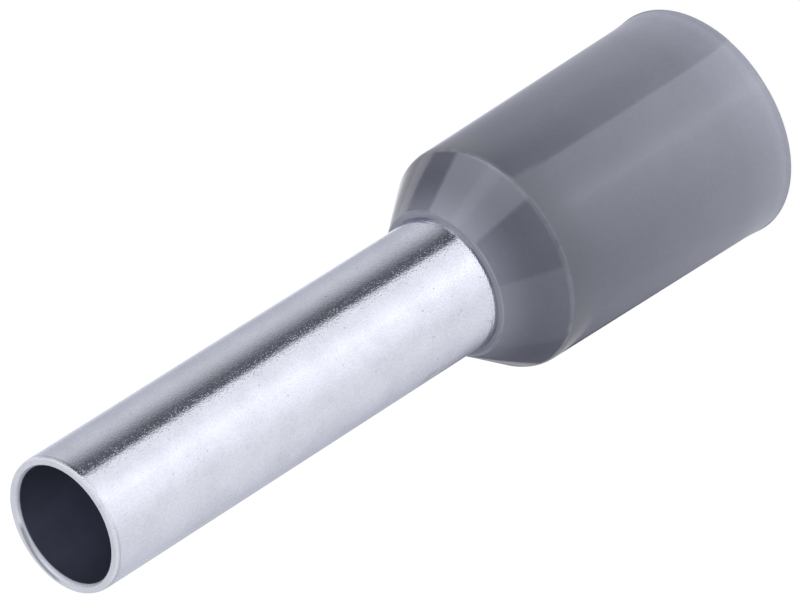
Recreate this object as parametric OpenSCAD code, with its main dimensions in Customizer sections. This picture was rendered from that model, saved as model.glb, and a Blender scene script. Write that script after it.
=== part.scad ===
// Insulated wire ferrule for a 4 mm2 stranded conductor: a thin tinned copper sleeve, whose
// rear end opens into a funnel, held in a moulded plastic collar that takes the insulation.
// The ferrule stands on the collar's open rear end, with the sleeve's axis along +Z.

/* [Metal sleeve] */
// Inner diameter of the sleeve, which takes the bare strands
sleeve_bore = 2.8; // [2.2:0.1:3.4]
// Wall of the sleeve
sleeve_wall = 0.2; // [0.15:0.01:0.3]
// Length of sleeve that stands free in front of the collar
free_length = 11.86; // [8:0.02:18]
// Radius of the bend, on its outer face, where the sleeve opens into the funnel
funnel_bend = 1; // [0.5:0.1:1.4]
// Rounding of the edges at the sleeve's two ends
edge_round = 0.04; // [0.02:0.01:0.09]

/* [Plastic collar] */
// Length of the collar
collar_length = 8.44; // [6:0.02:12]
// Bore that takes the conductor's insulation
socket_bore = 4.6; // [4.2:0.1:6]
// Wall of the barrel at its shoulder
barrel_wall = 0.38; // [0.3:0.01:0.6]
// Draft of the barrel's outer face, which widens towards the rear
draft_angle = 0.8; // [0:0.1:2]
// Slope of the nose cone against the axis
cone_angle = 35; // [25:1:42]
// Thickness of the nose cone, square to its slope
nose_wall = 0.42; // [0.35:0.01:0.6]
// Width of the flat ring round the sleeve at the very front
nose_ring = 0.17; // [0.12:0.01:0.4]
// Rounding where the cone runs into the barrel
shoulder_round = 0.3; // [0.1:0.05:0.8]
// Rounding of the front ring's outer edge
nose_round = 0.06; // [0.02:0.01:0.1]

/* [Rear mouth] */
// Length over which the barrel opens into a slight bell mouth
flare_length = 0.75; // [0.4:0.05:1.5]
// How far the bell mouth stands out from the barrel
flare_height = 0.05; // [0.02:0.01:0.12]
// Length of the lead-in inside the mouth
lead_length = 0.6; // [0.3:0.05:1.2]
// How far the lead-in opens, on the radius
lead_height = 0.1; // [0.04:0.01:0.14]
// Rounding of the rear rim's edges
rim_round = 0.1; // [0.04:0.01:0.12]

/* [Fits] */
// Gap between the sleeve and the collar, in the throat and on the seat
seat_gap = 0.02; // [0.01:0.01:0.05]
// Gap between the funnel's edge and the socket's wall
funnel_gap = 0.06; // [0.03:0.01:0.15]

/* [Hidden] */
$fn = 144;

// Depth by which the arc of a rounding crosses the faces that it joins, so that it meets
// each of them in one clean edge
bite = 0.0001;

function polar(r, a) = [r * cos(a), r * sin(a)];

// The profiles are drawn with the radius as x and the height as y
sleeve_in = sleeve_bore / 2;
sleeve_out = sleeve_in + sleeve_wall;
throat_r = sleeve_out + seat_gap;
socket_r = socket_bore / 2;
shoulder_r = socket_r + barrel_wall;
face_r = sleeve_out + nose_ring;
overall = collar_length + free_length;

// Height of the nose cone at radius x, or of a cone that lies deep square below it
function cone_z(x, deep = 0) =
    collar_length + (face_r - x) / tan(cone_angle) - deep / sin(cone_angle);

// Outer faces of the collar
shoulder = [shoulder_r, cone_z(shoulder_r)];
rear_r = shoulder_r + shoulder[1] * tan(draft_angle);

// Seat for the funnel inside the nose, from the throat to the socket
seat_top = [throat_r, cone_z(throat_r, nose_wall)];
seat_foot = [socket_r, cone_z(socket_r, nose_wall)];

// The sleeve's bend, on its outer and inner face: the funnel lies seat_gap below the seat
funnel_deep = nose_wall + seat_gap;
bend_out = [sleeve_out, cone_z(sleeve_out, funnel_deep)];
bend_in = [sleeve_in, cone_z(sleeve_in, funnel_deep + sleeve_wall)];

// Corners of the funnel's end, the outer one placed so that its rounding stays funnel_gap
// clear of the socket's wall
edge = min(edge_round, 0.45 * sleeve_wall);
end_x = socket_r - funnel_gap - edge + edge / cos(45) * cos(cone_angle - 45);
end_out = [end_x, cone_z(end_x, funnel_deep)];
end_in = end_out - polar(sleeve_wall, cone_angle);

// Bell mouth outside: an arc that leaves the barrel smoothly
flare_r = (pow(flare_length, 2) + pow(flare_height, 2)) / (2 * flare_height);
flare_start = [rear_r - flare_length * tan(draft_angle), flare_length];
flare_c = flare_start + polar(flare_r - bite, draft_angle);

// Lead-in inside: an arc that leaves the socket's wall smoothly
lead_r = (pow(lead_length, 2) + pow(lead_height, 2)) / (2 * lead_height);
lead_c = [socket_r + lead_r - bite, lead_length];

// Centres of the rim's two roundings, which run into those arcs and into the rear plane
rim_z = rim_round - bite;
rim_out = [flare_c[0] - sqrt(pow(flare_r + rim_z, 2) - pow(flare_length - rim_z, 2)), rim_z];
rim_in = [lead_c[0] - sqrt(pow(lead_r - rim_z, 2) - pow(lead_length - rim_z, 2)), rim_z];

// What is cut from an outer corner p, between faces whose normals point along n0 and n1
module corner_cut(p, r, n0, n1) {
    middle = (n0 + n1) / 2;
    c = p - polar((r - bite) / cos((n1 - n0) / 2), middle);
    difference() {
        polygon([c, c + polar(1.1 * r, n0), p + polar(r, middle), c + polar(1.1 * r, n1)]);
        translate(c) circle(r);
    }
}

// What is added in an inner corner p, between faces whose normals point along n0 and n1
module corner_fill(p, r, n0, n1) {
    middle = (n0 + n1) / 2;
    c = p + polar((r - bite) / cos((n1 - n0) / 2), middle);
    difference() {
        polygon([c, c - polar(1.1 * r, n0), p - polar(0.1 * r, middle), c - polar(1.1 * r, n1)]);
        translate(c) circle(r);
    }
}

// What is cut from the rim round a centre c, between the rear plane and the direction away
module rim_cut(c, away) {
    side = sign(away[0]) * 2 * rim_round;
    difference() {
        polygon([c, [c[0], -rim_round], [c[0] + side, -rim_round],
                 c + 2 * rim_round * away / norm(away)]);
        translate(c) circle(rim_round);
    }
}

module sleeve_outline() {
    polygon([[sleeve_in, overall], bend_in, end_in, end_out, bend_out, [sleeve_out, overall]]);
    corner_fill(bend_out, funnel_bend, 0, cone_angle);
}

module sleeve_profile() {
    difference() {
        sleeve_outline();
        // Inner face of the bend
        corner_cut(bend_in, funnel_bend + sleeve_wall, 180, 180 + cone_angle);
        // Edges of the tip, then of the funnel
        corner_cut([sleeve_out, overall], edge, 0, 90);
        corner_cut([sleeve_in, overall], edge, 90, 180);
        corner_cut(end_out, edge, cone_angle - 90, cone_angle);
        corner_cut(end_in, edge, cone_angle - 180, cone_angle - 90);
    }
}

module collar_outline() {
    polygon([[0, 0], [rear_r, 0], shoulder, [face_r, collar_length], [0, collar_length]]);
    // Bell mouth
    difference() {
        polygon([[socket_r, 0], [flare_c[0], 0], flare_c,
                 flare_start - polar(barrel_wall / 2, draft_angle)]);
        translate(flare_c) circle(flare_r);
    }
}

module collar_hollow() {
    polygon([[0, -1], [socket_r, -1], seat_foot, seat_top,
             [throat_r, collar_length + 1], [0, collar_length + 1]]);
    // Lead-in
    difference() {
        polygon([[0, -1], [shoulder_r, -1], [shoulder_r, lead_length], [0, lead_length]]);
        translate(lead_c) circle(lead_r);
    }
}

module collar_profile() {
    difference() {
        collar_outline();
        collar_hollow();
        // Edge of the throat, struck from the same centre as the sleeve's bend
        corner_cut(seat_top, funnel_bend - seat_gap, 180, 180 + cone_angle);
        corner_cut(shoulder, shoulder_round, draft_angle, cone_angle);
        corner_cut([face_r, collar_length], nose_round, cone_angle, 90);
        rim_cut(rim_out, flare_c - rim_out);
        rim_cut(rim_in, rim_in - lead_c);
    }
}

module sleeve() {
    color([0.85, 0.85, 0.88])
        rotate_extrude() sleeve_profile();
}

module collar() {
    color([0.48, 0.49, 0.54])
        rotate_extrude() collar_profile();
}

sleeve();
collar();
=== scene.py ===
import math

import bmesh
import bpy
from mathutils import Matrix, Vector


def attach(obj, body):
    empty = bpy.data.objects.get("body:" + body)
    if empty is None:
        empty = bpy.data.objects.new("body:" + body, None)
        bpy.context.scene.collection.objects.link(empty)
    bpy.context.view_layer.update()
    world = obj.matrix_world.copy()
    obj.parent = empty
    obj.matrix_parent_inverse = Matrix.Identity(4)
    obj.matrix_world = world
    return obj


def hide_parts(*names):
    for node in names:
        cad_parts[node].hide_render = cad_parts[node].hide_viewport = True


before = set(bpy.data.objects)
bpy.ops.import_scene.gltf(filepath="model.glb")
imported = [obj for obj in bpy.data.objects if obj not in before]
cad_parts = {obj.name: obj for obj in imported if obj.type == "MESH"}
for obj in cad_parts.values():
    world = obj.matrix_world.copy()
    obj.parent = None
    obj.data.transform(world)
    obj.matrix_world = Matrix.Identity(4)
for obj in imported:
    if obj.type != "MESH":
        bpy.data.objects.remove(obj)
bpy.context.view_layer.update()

mm = 0.001


# The crimp sleeve: a thin copper tube, plated with bright tin, whose rear end is belled out
# into a funnel so that the strands slip in. It is cut from drawn tube, a little out of
# square, and tumbled. The collar is pushed over it, and its nose closes over the funnel.

# Sizes, and corners of the profile as distance from the axis and height
sleeve_outside = 1.6 * mm
sleeve_wall = 0.2 * mm
sleeve_inside = sleeve_outside - sleeve_wall
sleeve_tip = 20.3 * mm
funnel_bend = (1.6 * mm, 7.9157 * mm)
funnel_end = (2.2557 * mm, 6.9792 * mm)
funnel_slope = 35
bend_rounding = 1.0 * mm
edge_rounding = 0.04 * mm
tip_rounding = 0.06 * mm
mouth_rounding = 0.06 * mm
cut_lowered = 0.075 * mm
cut_tilt_x = 1.1
cut_tilt_y = 2.5
swell = ((1.6 * mm, 8.57 * mm), (1.6015 * mm, 8.555 * mm), (1.6235 * mm, 8.44 * mm),
         (1.6235 * mm, 8.36 * mm), (1.6 * mm, 8.3 * mm))
hair = 0.001 * mm
facets_round = 192


def lay_aside():
    """Leaves nothing selected, so that the next tool touches the new piece alone."""
    if bpy.context.object and bpy.context.object.mode == "EDIT":
        bpy.ops.object.mode_set(mode="OBJECT")
    bpy.ops.object.select_all(action="DESELECT")


def take_up(kind="EDGE"):
    """Opens the piece for shaping, or goes on shaping it, with none of it selected."""
    bpy.ops.object.mode_set(mode="EDIT")
    bpy.ops.mesh.select_mode(type=kind)
    bpy.ops.mesh.select_all(action="DESELECT")
    return bmesh.from_edit_mesh(bpy.context.object.data)


def reach(point):
    """A point's distance from the axis."""
    return math.hypot(point.co.x, point.co.y)


def pick_ring(radius, height, add=False):
    """Selects the ring of edges at a radius and a height."""
    if not add:
        bpy.ops.mesh.select_all(action="DESELECT")
    form = bmesh.from_edit_mesh(bpy.context.object.data)
    for edge in form.edges:
        if all(abs(reach(point) - radius) < 2 * hair and abs(point.co.z - height) < 2 * hair
               for point in edge.verts):
            edge.select = True
    form.select_flush_mode()
    bmesh.update_edit_mesh(bpy.context.object.data)


def draw_on(radius, height):
    """Draws the selected ring on to the next radius and height of the profile."""
    form = bmesh.from_edit_mesh(bpy.context.object.data)
    start = [point for point in form.verts if point.select][0]
    rise = height - start.co.z
    widen = radius / reach(start)
    bpy.ops.mesh.extrude_region_move(TRANSFORM_OT_translate={"value": (0, 0, rise)})
    bpy.ops.transform.resize(value=(widen, widen, 1), center_override=(0, 0, 0))


def round_ring(radius, height, rounding, turn, steps):
    """Rounds the edge at a ring where the profile turns by an angle in degrees."""
    pick_ring(radius, height)
    bpy.ops.mesh.bevel(offset_type="OFFSET", offset=rounding * math.tan(math.radians(turn / 2)),
                       segments=steps, profile=0.5, affect="EDGES", clamp_overlap=False)


lay_aside()
bpy.ops.mesh.primitive_cylinder_add(
    vertices=facets_round, radius=sleeve_outside, depth=sleeve_tip - funnel_bend[1],
    end_fill_type="NOTHING", location=(0, 0, (sleeve_tip + funnel_bend[1]) / 2))
sleeve = bpy.context.object
sleeve.name = "crimp_sleeve"
bpy.ops.object.transform_apply(location=True, rotation=True, scale=True)

# The funnel, and the bend that leads into it
take_up()
pick_ring(*funnel_bend)
draw_on(*funnel_end)
round_ring(*funnel_bend, bend_rounding, funnel_slope, 10)
bpy.ops.mesh.select_all(action="SELECT")
bpy.ops.mesh.normals_make_consistent(inside=False)
lay_aside()

# The wall, inwards from the outer face
sleeve.select_set(True)
bpy.context.view_layer.objects.active = sleeve
wall = sleeve.modifiers.new("wall", "SOLIDIFY")
wall.thickness = sleeve_wall
wall.offset = -1
wall.use_even_offset = True
bpy.ops.object.modifier_apply(modifier="wall")

# The four edges of the two ends
slope = math.radians(funnel_slope)
inner_end = (funnel_end[0] - sleeve_wall * math.cos(slope),
             funnel_end[1] - sleeve_wall * math.sin(slope))
take_up()
round_ring(*funnel_end, edge_rounding, 90, 5)
round_ring(*inner_end, edge_rounding, 90, 5)
round_ring(sleeve_outside, sleeve_tip, tip_rounding, 90, 8)
round_ring(sleeve_inside, sleeve_tip, mouth_rounding, 90, 6)


def pick_end(nearest, farthest, lowest):
    """Selects the points above a height that lie between two distances from the axis."""
    form = take_up("VERT")
    for point in form.verts:
        if nearest < reach(point) < farthest and point.co.z > lowest:
            point.select = True
    form.select_flush_mode()
    bmesh.update_edit_mesh(bpy.context.object.data)


# The tip is worn soft: its outer edge is drawn out three times along the tube, and its inner
# edge twice
pick_end(sleeve_outside - tip_rounding - hair, sleeve_outside + hair,
         sleeve_tip - tip_rounding - hair)
bpy.ops.transform.resize(value=(1, 1, 3), center_override=(0, 0, sleeve_tip))
pick_end(sleeve_inside - hair, sleeve_inside + mouth_rounding + hair,
         sleeve_tip - mouth_rounding - hair)
bpy.ops.transform.resize(value=(1, 1, 2), center_override=(0, 0, sleeve_tip))

# The cut runs a little out of square, and its face isn't quite even
cut_zone = sleeve_tip - 0.3 * mm
middle_of_cut = (0, 0, sleeve_tip - 0.2 * mm)
pick_end(0, 2 * sleeve_outside, cut_zone)
bpy.ops.transform.translate(value=(0, 0, -cut_lowered))
bpy.ops.transform.rotate(value=-math.radians(cut_tilt_y), orient_axis="Y",
                         center_override=middle_of_cut)
bpy.ops.transform.rotate(value=math.radians(cut_tilt_x), orient_axis="X",
                         center_override=middle_of_cut)
pick_end(sleeve_inside + 0.04 * mm, sleeve_outside - 0.05 * mm, cut_zone)
bpy.ops.transform.vertex_random(offset=0.002 * mm, seed=4)

# Where the collar grips the sleeve, its outer face swells very slightly
outer_skin = sleeve_outside - 0.05 * mm
for radius, level in swell:
    form = take_up("FACE")
    for face in form.faces:
        nearest = min(reach(point) for point in face.verts)
        if face.normal.xy.length > 0.9 and nearest > outer_skin:
            heights = [point.co.z for point in face.verts]
            face.select = min(heights) < level - hair and level + hair < max(heights)
    bmesh.update_edit_mesh(sleeve.data)
    bpy.ops.mesh.bisect(plane_co=(0, 0, level), plane_no=(0, 0, 1), threshold=hair)
    bpy.ops.mesh.select_mode(type="EDGE")
    pick_ring(sleeve_outside, level)
    widen = radius / sleeve_outside
    bpy.ops.transform.resize(value=(widen, widen, 1), center_override=(0, 0, 0))
lay_aside()

sleeve.select_set(True)
bpy.context.view_layer.objects.active = sleeve
bpy.ops.object.shade_smooth_by_angle(angle=math.radians(35))


def makers(tree):
    """A maker of nodes and a maker of links, for a node tree that is emptied first."""
    tree.nodes.clear()

    def node(kind, **settings):
        made = tree.nodes.new(kind)
        for key, value in settings.items():
            if key in made.inputs.keys():
                made.inputs[key].default_value = value
            else:
                setattr(made, key, value)
        return made

    return node, tree.links.new


def new_finish(name):
    """An empty material, with the makers of its nodes and links."""
    material = bpy.data.materials.new(name)
    material.use_nodes = True
    return material, *makers(material.node_tree)


def give(link, socket, value):
    """Sets a socket to a number or a colour, or links what is worked out to it."""
    if isinstance(value, tuple):
        socket.default_value = (*value, 1)
    elif isinstance(value, (int, float)):
        socket.default_value = value
    else:
        link(value, socket)


def reckon(node, link, operation, *values):
    """A sum, product or other reckoning of numbers."""
    step = node("ShaderNodeMath", operation=operation)
    for socket, value in zip(step.inputs, values):
        give(link, socket, value)
    return step.outputs["Value"]


def product(node, link, *values):
    """Several numbers multiplied together."""
    total = values[0]
    for value in values[1:]:
        total = reckon(node, link, "MULTIPLY", total, value)
    return total


def length(node, link, along, beside):
    """The length of a line that runs so far along and so far beside."""
    square = product(node, link, beside, beside)
    return reckon(node, link, "SQRT",
                  reckon(node, link, "MULTIPLY_ADD", along, along, square))


def away_from(node, link, value, level):
    """How far a value is from a level, on either side."""
    return reckon(node, link, "ABSOLUTE", reckon(node, link, "SUBTRACT", value, level))


def spread(node, link, value, low, high, to_low=0.0, to_high=1.0):
    """A value spread from one range over another, and held at its ends."""
    step = node("ShaderNodeMapRange")
    for socket, number in zip(step.inputs[1:5], (low, high, to_low, to_high)):
        socket.default_value = number
    link(value, step.inputs["Value"])
    return step.outputs["Result"]


def ramp_of(node, link, value, *stops):
    """A ramp of tones or colours over a value."""
    ramp = node("ShaderNodeValToRGB")
    while len(ramp.color_ramp.elements) < len(stops):
        ramp.color_ramp.elements.new(0.5)
    for element, (spot, tone) in zip(ramp.color_ramp.elements, stops):
        element.position = spot
        element.color = (*tone, 1) if isinstance(tone, tuple) else (tone, tone, tone, 1)
    link(value, ramp.inputs["Fac"])
    return ramp.outputs["Color"]


def mixed(node, link, share, first, second, blend="MIX"):
    """Two colours mixed, the second by its share, or laid over each other."""
    both = node("ShaderNodeMix", data_type="RGBA", blend_type=blend)
    give(link, both.inputs[0], share)
    give(link, both.inputs[6], first)
    give(link, both.inputs[7], second)
    return both.outputs[2]


def layered(node, link, colour, *layers):
    """A colour darkened by each of the layers in turn."""
    for layer in layers:
        colour = mixed(node, link, 1.0, colour, layer, "MULTIPLY")
    return colour


def noise(node, link, place, scale, detail=3.0, roughness=0.6, distortion=0.0):
    """Mottling of a given number of patches to the millimetre."""
    step = node("ShaderNodeTexNoise", Scale=scale, Detail=detail, Roughness=roughness,
                Distortion=distortion)
    link(place, step.inputs["Vector"])
    return step.outputs["Fac"]


def measured(node, link):
    """The place on the piece in millimetres, its three parts, and its distance from the axis."""
    on_piece = node("ShaderNodeTexCoord")
    in_mm = node("ShaderNodeMapping")
    in_mm.inputs["Scale"].default_value = (1000, 1000, 1000)
    link(on_piece.outputs["Object"], in_mm.inputs["Vector"])
    parts = node("ShaderNodeSeparateXYZ")
    link(in_mm.outputs["Vector"], parts.inputs[0])
    flat = node("ShaderNodeVectorMath", operation="MULTIPLY")
    flat.inputs[1].default_value = (1, 1, 0)
    link(in_mm.outputs["Vector"], flat.inputs[0])
    from_axis = node("ShaderNodeVectorMath", operation="LENGTH")
    link(flat.outputs["Vector"], from_axis.inputs[0])
    return in_mm.outputs["Vector"], parts.outputs, from_axis.outputs["Value"]


def specks(node, link, place, scale, radius, share):
    """Small round marks in a share of the cells: 0 in a mark and 1 beside it."""
    cells = node("ShaderNodeTexVoronoi", Scale=scale, Randomness=1.0)
    link(place, cells.inputs["Vector"])
    shape = spread(node, link, cells.outputs["Distance"], 0.4 * radius * scale,
                   radius * scale)
    chance = node("ShaderNodeSeparateColor")
    link(cells.outputs["Color"], chance.inputs["Color"])
    spared = reckon(node, link, "GREATER_THAN", chance.outputs["Red"], share)
    return reckon(node, link, "MAXIMUM", shape, spared)


def hairlines(node, link, place, scale, thin, share):
    """Fine broken scratches: 0 in a scratch and 1 beside it."""
    fields = noise(node, link, place, scale, detail=1.0, roughness=0.3)
    shape = spread(node, link, away_from(node, link, fields, 0.5), 0.3 * thin, thin)
    gaps = noise(node, link, place, 2.0 * scale, detail=2.0)
    spared = reckon(node, link, "GREATER_THAN", gaps, share)
    return reckon(node, link, "MAXIMUM", shape, spared)


# Bright tin: a fine grain all over, soft clouds, and pits and hairlines from handling, most
# of them close to the collar
tin, node, link = new_finish("bright tin plate")
place, across, from_axis = measured(node, link)
height = across["Z"]
grain = noise(node, link, place, 19.0, detail=2.0, roughness=0.7)
clouds = noise(node, link, place, 1.3, detail=5.0, roughness=0.65)
worn_zone = spread(node, link, height, 12.5, 8.6)
pit_share = spread(node, link, worn_zone, 0.0, 1.0, 0.12, 0.3)
pits = specks(node, link, place, 4.5, 0.028, pit_share)
dots = specks(node, link, place, 22.0, 0.019, 0.8)
scratch_share = spread(node, link, worn_zone, 0.0, 1.0, 0.33, 0.43)
scratches = hairlines(node, link, place, 2.2, 0.02, scratch_share)
plate = layered(node, link, (0.735, 0.748, 0.83),
                ramp_of(node, link, clouds, (0.3, 0.91), (0.58, 1.0)),
                ramp_of(node, link, grain, (0.32, 0.9), (0.55, 1.0)),
                ramp_of(node, link, pits, (0.0, 0.6), (1.0, 1.0)),
                ramp_of(node, link, dots, (0.0, 0.95), (1.0, 1.0)),
                ramp_of(node, link, scratches, (0.0, 0.84), (1.0, 1.0)))

# The depth below the tilted cut, and the distance to the side
below_cut = reckon(node, link, "SUBTRACT", (sleeve_tip - cut_lowered) / mm, height)
below_cut = reckon(node, link, "MULTIPLY_ADD", across["X"],
                   -math.tan(math.radians(cut_tilt_y)), below_cut)
below_cut = reckon(node, link, "MULTIPLY_ADD", across["Y"],
                   -math.tan(math.radians(cut_tilt_x)), below_cut)
sideways = reckon(node, link, "ABSOLUTE", across["Y"])

# The cut face is duller
on_cut = product(node, link, spread(node, link, below_cut, 0.05, 0.02),
                 spread(node, link, from_axis, 1.575, 1.555))
plate = mixed(node, link, on_cut, plate, layered(node, link, plate, (0.86, 0.86, 0.86)))

# The bore isn't burnished, and from a little way in it is painted dark, as the shade inside the
# tube; the painted shade is lighter deeper in and darker towards the sides
inside = product(node, link, spread(node, link, from_axis, 1.415, 1.404),
                 spread(node, link, below_cut, 0.115, 0.15))
painted_bore_shade = ramp_of(node, link, clouds, (0.3, (0.063, 0.069, 0.107)), (0.7, (0.08, 0.087, 0.134)))
painted_bore_shade = layered(node, link, painted_bore_shade, spread(node, link, below_cut, 0.2, 2.2, 1.0, 2.3),
               spread(node, link, sideways, 0.5, 1.3, 1.0, 0.6))

# The saw left a burr inside the rim. Along a short arc of it a highlight is painted pale, and
# next to it a dark line is painted as the shadow of a fold
burr = product(node, link, spread(node, link, from_axis, 1.45, 1.42),
               spread(node, link, below_cut, 0.02, 0.04),
               spread(node, link, below_cut, 0.17, 0.15))
fold_side = math.radians(187)
fold_middle = (-0.018, -0.068)
fold_radius = 1.41
to_fold_side = reckon(node, link, "MULTIPLY_ADD", across["X"], math.cos(fold_side),
                      reckon(node, link, "MULTIPLY", across["Y"], math.sin(fold_side)))
from_fold_middle = length(node, link,
                          reckon(node, link, "SUBTRACT", across["X"], fold_middle[0]),
                          reckon(node, link, "SUBTRACT", across["Y"], fold_middle[1]))
painted_fold_shadow = product(node, link,
               spread(node, link, away_from(node, link, from_fold_middle, fold_radius),
                      0.045, 0.012),
               spread(node, link, to_fold_side, 1.2, 1.29),
               spread(node, link, below_cut, 0.09, 0.05))
painted_highlight_arc = product(node, link, burr, spread(node, link, to_fold_side, 0.9, 1.3))
plate = mixed(node, link, painted_highlight_arc, plate, (0.84, 0.86, 0.98))
plate = mixed(node, link, product(node, link, painted_fold_shadow, 0.8), plate, (0.2, 0.205, 0.25))

# A faint dark line, stronger at the sides, is painted as shade where the rounding of the lip
# begins
lip_edge_shade = product(node, link,
              spread(node, link, away_from(node, link, below_cut, 0.115), 0.035, 0.01),
              spread(node, link, from_axis, 1.57, 1.59),
              spread(node, link, sideways, 0.2, 1.0, 0.1, 0.42))
plate = mixed(node, link, lip_edge_shade, plate, (0.3, 0.31, 0.36))

surface = node("ShaderNodeBsdfPrincipled")
surface.inputs["Specular Tint"].default_value = (0.92, 0.935, 1.0, 1)
link(mixed(node, link, inside, plate, painted_bore_shade), surface.inputs["Base Color"])
bare = reckon(node, link, "MAXIMUM", product(node, link, inside, 0.65),
              product(node, link, burr, 0.85))
link(reckon(node, link, "SUBTRACT", 1.0, bare), surface.inputs["Metallic"])
shine = spread(node, link, grain, 0.46, 0.66, 0.06, 0.2)
dull_zone = reckon(node, link, "MAXIMUM", on_cut, reckon(node, link, "MAXIMUM", inside, burr))
duller = reckon(node, link, "MULTIPLY_ADD", dull_zone, 0.3, shine)
link(duller, surface.inputs["Roughness"])
fine = node("ShaderNodeBump", Strength=1.0, Distance=0.0025 * mm)
link(grain, fine.inputs["Height"])
dents = node("ShaderNodeBump", Strength=1.0, Distance=0.0016 * mm)
link(reckon(node, link, "MINIMUM", pits, dots), dents.inputs["Height"])
link(fine.outputs["Normal"], dents.inputs["Normal"])
link(dents.outputs["Normal"], surface.inputs["Normal"])
out = node("ShaderNodeOutputMaterial")
link(surface.outputs["BSDF"], out.inputs["Surface"])
sleeve.data.materials.clear()
sleeve.data.materials.append(tin)

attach(sleeve, "root")
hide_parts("sleeve")


# The collar: one moulding in grey plastic, a barrel that takes the wire's insulation and a
# nose cone that closes round the sleeve. Its barrel drafts wider towards the rear, where it
# opens into a slight bell mouth. It is pushed on to the sleeve until the funnel seats.

# Corners of the profile, as distance from the axis and height
barrel_foot = (2.7737 * mm, 0.4312 * mm)
shoulder = (2.68 * mm, 7.1404 * mm)
nose_edge = (1.77 * mm, 8.44 * mm)
throat_mouth = (1.6255 * mm, 8.44 * mm)
throat_foot = (1.6255 * mm, 7.914 * mm)
socket_top = (2.3 * mm, 6.9508 * mm)
lead_in = (2.3 * mm, 0.3278 * mm)
rim_inside = (2.3986 * mm, 0)
rim_outside = (2.827 * mm, 0)

# Roundings, slopes against the axis in degrees, and turns of the profile at the rear mouth
shoulder_rounding = 0.3 * mm
nose_rounding = 0.1 * mm
rim_rounding = 0.1 * mm
bell_rounding = 5.65 * mm
lead_rounding = 1.82 * mm
throat_rounding = 0.975 * mm
draft = 0.8
cone_slope = 35
bell_turn = 6.46
lead_turn = 16.74
rim_outside_turn = 97.3
rim_inside_turn = 73.3

lay_aside()
bpy.ops.mesh.primitive_cone_add(
    vertices=facets_round, radius1=barrel_foot[0], radius2=shoulder[0],
    depth=shoulder[1] - barrel_foot[1], end_fill_type="NOTHING",
    location=(0, 0, (shoulder[1] + barrel_foot[1]) / 2))
collar = bpy.context.object
collar.name = "insulating_collar"
bpy.ops.object.transform_apply(location=True, rotation=True, scale=True)

# The profile, drawn on from the shoulder over the nose and back down the inside, then from
# the barrel's foot to the rim, and closed there
take_up()
pick_ring(*shoulder)
for corner in (nose_edge, throat_mouth, throat_foot, socket_top, lead_in, rim_inside):
    draw_on(*corner)
pick_ring(*barrel_foot)
draw_on(*rim_outside)
pick_ring(*rim_inside, add=True)
bpy.ops.mesh.bridge_edge_loops()
bpy.ops.mesh.select_all(action="SELECT")
bpy.ops.mesh.remove_doubles(threshold=0.5 * hair)
bpy.ops.mesh.normals_make_consistent(inside=False)

round_ring(*shoulder, shoulder_rounding, cone_slope - draft, 6)
round_ring(*nose_edge, nose_rounding, 90 - cone_slope, 5)
round_ring(*rim_outside, rim_rounding, rim_outside_turn, 7)
round_ring(*rim_inside, rim_rounding, rim_inside_turn, 6)
round_ring(*barrel_foot, bell_rounding, bell_turn, 8)
round_ring(*lead_in, lead_rounding, lead_turn, 6)
round_ring(*throat_foot, throat_rounding, cone_slope, 8)
lay_aside()

collar.select_set(True)
bpy.context.view_layer.objects.active = collar
bpy.ops.object.shade_smooth_by_angle(angle=math.radians(25))

# Moulded plastic. Its colour is painted lighter and darker along its height, for the light that
# a slightly clear wall would let through where it is thin or hollow behind: pale at the rear
# mouth with a painted dark line just above the rim, darkest on the cone, and lighter again at
# the front. The ramp runs from the rear rim, at 0, to the front ring, at 1.
plastic, node, link = new_finish("grey moulded plastic")
place, across, from_axis = measured(node, link)
height = across["Z"]
body = ramp_of(node, link, spread(node, link, height, 0.0, nose_edge[1] / mm),
               (0.0, (0.4, 0.41, 0.475)), (0.011, (0.37, 0.38, 0.45)),
               (0.0165, (0.335, 0.344, 0.406)), (0.023, (0.34, 0.35, 0.412)),
               (0.03, (0.362, 0.372, 0.44)), (0.06, (0.308, 0.318, 0.379)),
               (0.18, (0.235, 0.243, 0.293)), (0.42, (0.192, 0.199, 0.243)),
               (0.7, (0.148, 0.155, 0.194)), (0.84, (0.122, 0.127, 0.16)),
               (0.9, (0.108, 0.112, 0.143)), (0.925, (0.112, 0.116, 0.148)),
               (0.948, (0.13, 0.134, 0.171)), (0.972, (0.161, 0.166, 0.207)),
               (1.0, (0.202, 0.208, 0.256)))
swirl = noise(node, link, place, 0.8, detail=4.0, roughness=0.5, distortion=0.6)
skin = noise(node, link, place, 9.0, detail=4.0, roughness=0.7)
body = layered(node, link, body, ramp_of(node, link, swirl, (0.3, 0.95), (0.7, 1.0)),
               ramp_of(node, link, skin, (0.3, 0.94), (0.65, 1.0)))


def near_ring(node, link, height, from_axis, radius, level, wide):
    """How near a ring the surface is, 1 on the ring and 0 beside it."""
    away = length(node, link, reckon(node, link, "SUBTRACT", from_axis, radius),
                  reckon(node, link, "SUBTRACT", height, level))
    return spread(node, link, away, wide, 0.3 * wide)


# The nose's edge and the shoulder carry highlights painted pale in patches, as lines of light
# along them, and the front ring is paler
highlight_patches = spread(node, link, noise(node, link, place, 2.5, detail=3.0), 0.35, 0.6, 0.25, 1.0)
for radius, level, wide, highlight_strength in ((1.775, 8.42, 0.025, 0.3), (2.66, 7.15, 0.09, 0.16)):
    edge_highlight = near_ring(node, link, height, from_axis, radius, level, wide)
    body = mixed(node, link, product(node, link, edge_highlight, highlight_patches, highlight_strength), body, (0.4, 0.41, 0.5))
in_front = product(node, link, spread(node, link, height, 8.425, 8.435),
                   spread(node, link, from_axis, 1.76, 1.74))
body = mixed(node, link, in_front, body, (0.22, 0.228, 0.266))

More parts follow.
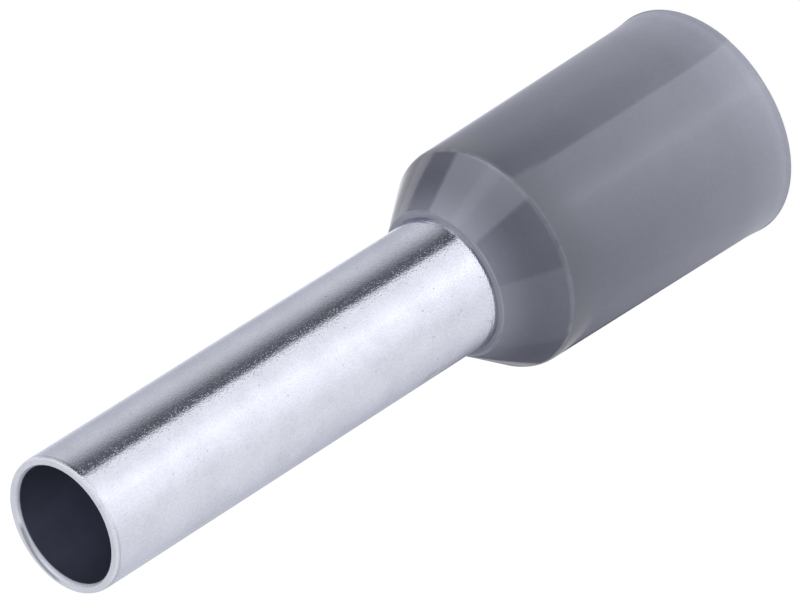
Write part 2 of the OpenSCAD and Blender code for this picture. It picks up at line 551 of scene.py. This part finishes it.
surface = node("ShaderNodeBsdfPrincipled", IOR=1.53)
link(body, surface.inputs["Base Color"])
link(spread(node, link, swirl, 0.0, 1.0, 0.05, 0.13), surface.inputs["Roughness"])
bumps = node("ShaderNodeBump", Strength=0.3, Distance=0.003 * mm)
link(skin, bumps.inputs["Height"])
link(bumps.outputs["Normal"], surface.inputs["Normal"])
out = node("ShaderNodeOutputMaterial")
link(surface.outputs["BSDF"], out.inputs["Surface"])
collar.data.materials.clear()
collar.data.materials.append(plastic)

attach(collar, "root")
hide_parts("collar")


# The table: a plain white board that the ferrule stands on, on its open rear end. It looks
# white to the camera and in the metal, and keeps a faint shadow.


def in_sight(node, link):
    """1 for what the camera sees, straight, in gloss or through clear stuff, and else 0."""
    rays = node("ShaderNodeLightPath")
    seen = reckon(node, link, "MAXIMUM", rays.outputs["Is Camera Ray"],
                  rays.outputs["Is Glossy Ray"])
    return reckon(node, link, "MAXIMUM", seen, rays.outputs["Is Transmission Ray"])


lay_aside()
bpy.ops.mesh.primitive_plane_add(size=3, location=(0, 0, 0))
table = bpy.context.object
table.name = "table"
board, node, link = new_finish("white board")
matt = node("ShaderNodeBsdfDiffuse", Color=(0.9, 0.9, 0.9, 1))
glow = node("ShaderNodeEmission", Color=(1, 1, 1, 1), Strength=1.05)
blend = node("ShaderNodeMixShader")
link(product(node, link, in_sight(node, link), 0.88), blend.inputs["Fac"])
link(matt.outputs["BSDF"], blend.inputs[1])
link(glow.outputs["Emission"], blend.inputs[2])
out = node("ShaderNodeOutputMaterial")
link(blend.outputs["Shader"], out.inputs["Surface"])
table.data.materials.append(board)

# The room round the table, white where it is seen
room = bpy.data.worlds.new("white room")
bpy.context.scene.world = room
room.use_nodes = True
node, link = makers(room.node_tree)
walls = node("ShaderNodeBackground", Color=(1, 1, 1, 1))
link(spread(node, link, in_sight(node, link), 0.0, 1.0, 0.8, 1.0), walls.inputs["Strength"])
out = node("ShaderNodeOutputWorld")
link(walls.outputs["Background"], out.inputs["Surface"])


# The lights: a large soft box in front of the ferrule and one overhead. Grey cards, which
# only the gloss of the metal and the plastic sees, lie and stand round it.

middle_of_part = Vector((0, 0, 10 * mm))


def soft_box(name, azimuth, elevation, distance, width, tall, strength):
    """A lamp with an even rectangular face of the given brightness, turned to the part."""
    lamp = bpy.data.lights.new(name, "AREA")
    lamp.shape = "RECTANGLE"
    lamp.size = width * mm
    lamp.size_y = tall * mm
    lamp.energy = strength * math.pi * width * tall * mm * mm
    box = bpy.data.objects.new(name, lamp)
    bpy.context.scene.collection.objects.link(box)
    around = math.radians(azimuth)
    up = math.radians(elevation)
    away = Vector((math.cos(around) * math.cos(up), math.sin(around) * math.cos(up),
                   math.sin(up)))
    box.location = middle_of_part + away * distance * mm
    box.rotation_euler = away.to_track_quat("Z", "Y").to_euler()
    box.visible_camera = False
    box.visible_glossy = False


soft_box("front_light", azimuth=22, elevation=30, distance=90, width=120, tall=64,
         strength=0.9)
soft_box("overhead_light", azimuth=0, elevation=88, distance=90, width=60, tall=60,
         strength=1.5)

cool = (0.95, 0.962, 1.08)


def tinted(tone, tint):
    """A grey with the faint blue haze of the photograph, in a tint."""
    return tuple((tone + haze) * share for haze, share in zip((-0.008, -0.0045, 0.016), tint))


def even(tone):
    """The stops of a card in one tone."""
    return ((-180, tone), (180, tone))


def ring_card(name, inner, outer, stops, tint=(1, 1, 1), start=-180, end=180, off_axis=0,
              shade=None):
    """A card round the part, from one radius and height to another, whose tone changes with
    the angle. A card with a shade has one tone instead, and its cover changes with the angle,
    and over the distance too, as the shade says."""
    lay_aside()
    bpy.ops.mesh.primitive_circle_add(vertices=360, radius=inner[0] * mm,
                                      fill_type="NOTHING", location=(0, 0, inner[1] * mm))
    card = bpy.context.object
    card.name = name
    bpy.ops.object.transform_apply(location=True, rotation=True, scale=True)
    take_up()
    bpy.ops.mesh.select_all(action="SELECT")
    draw_on(outer[0] * mm, outer[1] * mm)
    form = take_up("FACE")
    for face in form.faces:
        middle = face.calc_center_median()
        if not start < math.degrees(math.atan2(middle.y, middle.x)) < end:
            face.select = True
    bmesh.update_edit_mesh(card.data)
    bpy.ops.mesh.delete(type="FACE")
    lay_aside()
    paper, node, link = new_finish(name)
    across, from_axis = measured(node, link)[1:]
    angle = reckon(node, link, "ARCTAN2", across["Y"], across["X"])
    turn = spread(node, link, angle, -math.pi, math.pi)
    tones = [((degrees + 180) / 360, tone) for degrees, tone in stops]
    glow = node("ShaderNodeEmission", Strength=1.0)
    out = node("ShaderNodeOutputMaterial")
    if shade:
        shade_tone, covers = shade
        glow.inputs["Color"].default_value = (*tinted(shade_tone, tint), 1)
        outwards = spread(node, link, from_axis, inner[0], outer[0])
        cover = layered(node, link, ramp_of(node, link, turn, *tones),
                        ramp_of(node, link, outwards, *covers))
        clear = node("ShaderNodeBsdfTransparent")
        both = node("ShaderNodeMixShader")
        link(cover, both.inputs["Fac"])
        link(clear.outputs["BSDF"], both.inputs[1])
        link(glow.outputs["Emission"], both.inputs[2])
        link(both.outputs["Shader"], out.inputs["Surface"])
    else:
        colours = [(spot, tinted(tone, tint)) for spot, tone in tones]
        link(ramp_of(node, link, turn, *colours), glow.inputs["Color"])
        link(glow.outputs["Emission"], out.inputs["Surface"])
    card.data.materials.append(paper)
    card.location = (off_axis * mm, 0, 0)
    card.visible_camera = False
    card.visible_diffuse = False
    card.visible_transmission = False
    card.visible_volume_scatter = False
    card.visible_shadow = False


# The collar's barrel looks on to the near card, the sleeve on to the wide card, and the nose
# cone on to the high card, which the sleeve's tip sees from the edge only
ring_card("near_card", (0.5, 0.02), (11.6, 0.02),
          ((-180, 0.02), (-160, 0.04), (-153, 0.09), (-143, 0.26), (-130, 0.39), (-110, 0.66),
           (-80, 0.85), (-60, 0.95), (-30, 1.4), (-10, 1.85), (0, 2.35), (10, 1.85),
           (22, 1.5), (45.2, 1.45), (46.8, 0.1), (64, 0.1), (74, 0.3), (90, 0.6), (140, 0.65),
           (150, 0.85), (160, 1.15), (180, 1.3)), tint=cool, off_axis=1.4)
ring_card("wide_card", (11.6, 0.02), (85, 0.02),
          ((-180, 0.5), (-165, 0.56), (-157, 0.74), (-140, 0.72), (-120, 0.82), (-80, 0.94),
           (-50, 0.98), (-30, 1.14), (-10, 1.25), (0, 1.36), (10, 1.27), (25, 1.12),
           (47.6, 1.06), (51.2, 0.135), (66, 0.135), (74, 0.26), (84, 0.48), (96, 0.69),
           (108, 0.75), (130, 0.65), (143, 0.6), (152, 0.75), (165, 0.9), (180, 0.95)),
          off_axis=1.4)
ring_card("high_card", (11, 18.05), (100, 0.25),
          ((-180, 1.4), (-178, 1.15), (-175.5, 0.8), (-172, 0.15), (-166, 0.15), (-160, 0.9),
           (-138, 0.1), (-126, 0.22), (-106, 0.5), (-80, 0.75), (-45, 0.85), (-42, 0.12),
           (22, 0.15), (25, 1.8), (50, 2.2), (57, 2.9), (66, 2.9), (72, 2.3), (100, 1.9),
           (103, 0.08), (130, 0.1), (138, 0.8), (168, 0.75), (173, 0.85), (175.5, 1.1),
           (178, 1.25), (180, 1.3)), tint=cool)

# Smaller cards for the lower and the rear edges of the part
ring_card("low_shade", (22, 7.86), (36, 0.1), even(0.1), tint=cool, start=-180, end=-105)
ring_card("skirt_shade", (5.5, 7.4), (9.5, 4.55), even(0.12), tint=cool, start=-180, end=-122)
ring_card("far_light", (36, 0.05), (84, 0.05), even(0.96), start=129, end=180)
ring_card("side_glow", (11.6, 0.05), (22, 0.05), ((144, 0.0), (156, 1.0), (180, 1.0)),
          start=144, end=180, shade=(1.3, ((0.0, 0.8), (0.5, 0.5), (1.0, 0.0))))
ring_card("foot_shade", (2.82, 0.03), (2.88, 0.03), even(0.3), tint=cool, start=-150, end=150)
ring_card("side_shade", (11.6, 0.04), (30, 0.04),
          ((-180, 1.0), (-155, 1.0), (-130, 0.65), (-110, 0.25), (-95, 0.0)),
          start=-180, end=-95,
          shade=(0.25, ((0.0, 1.0), (0.08, 0.95), (0.15, 0.8), (0.19, 0.42), (0.23, 0.27),
                        (0.46, 0.22), (0.7, 0.14), (1.0, 0.0))))


# The camera: a long lens, high in front of the part, that looks down on it by about 35
# degrees. It is turned on its side, so that the tip points down to the left.

lens = bpy.data.cameras.new("camera")
lens.sensor_width = 36
lens.lens = 360.743
lens.clip_start = 0.01
camera = bpy.data.objects.new("camera", lens)
bpy.context.scene.collection.objects.link(camera)
camera.location = (0.142856, 0, 0.111629)
camera.rotation_euler = (math.radians(-36.9085), math.radians(43.39618),
                         math.radians(-47.64462))
bpy.context.scene.camera = camera
bpy.context.scene.view_settings.view_transform = "Standard"
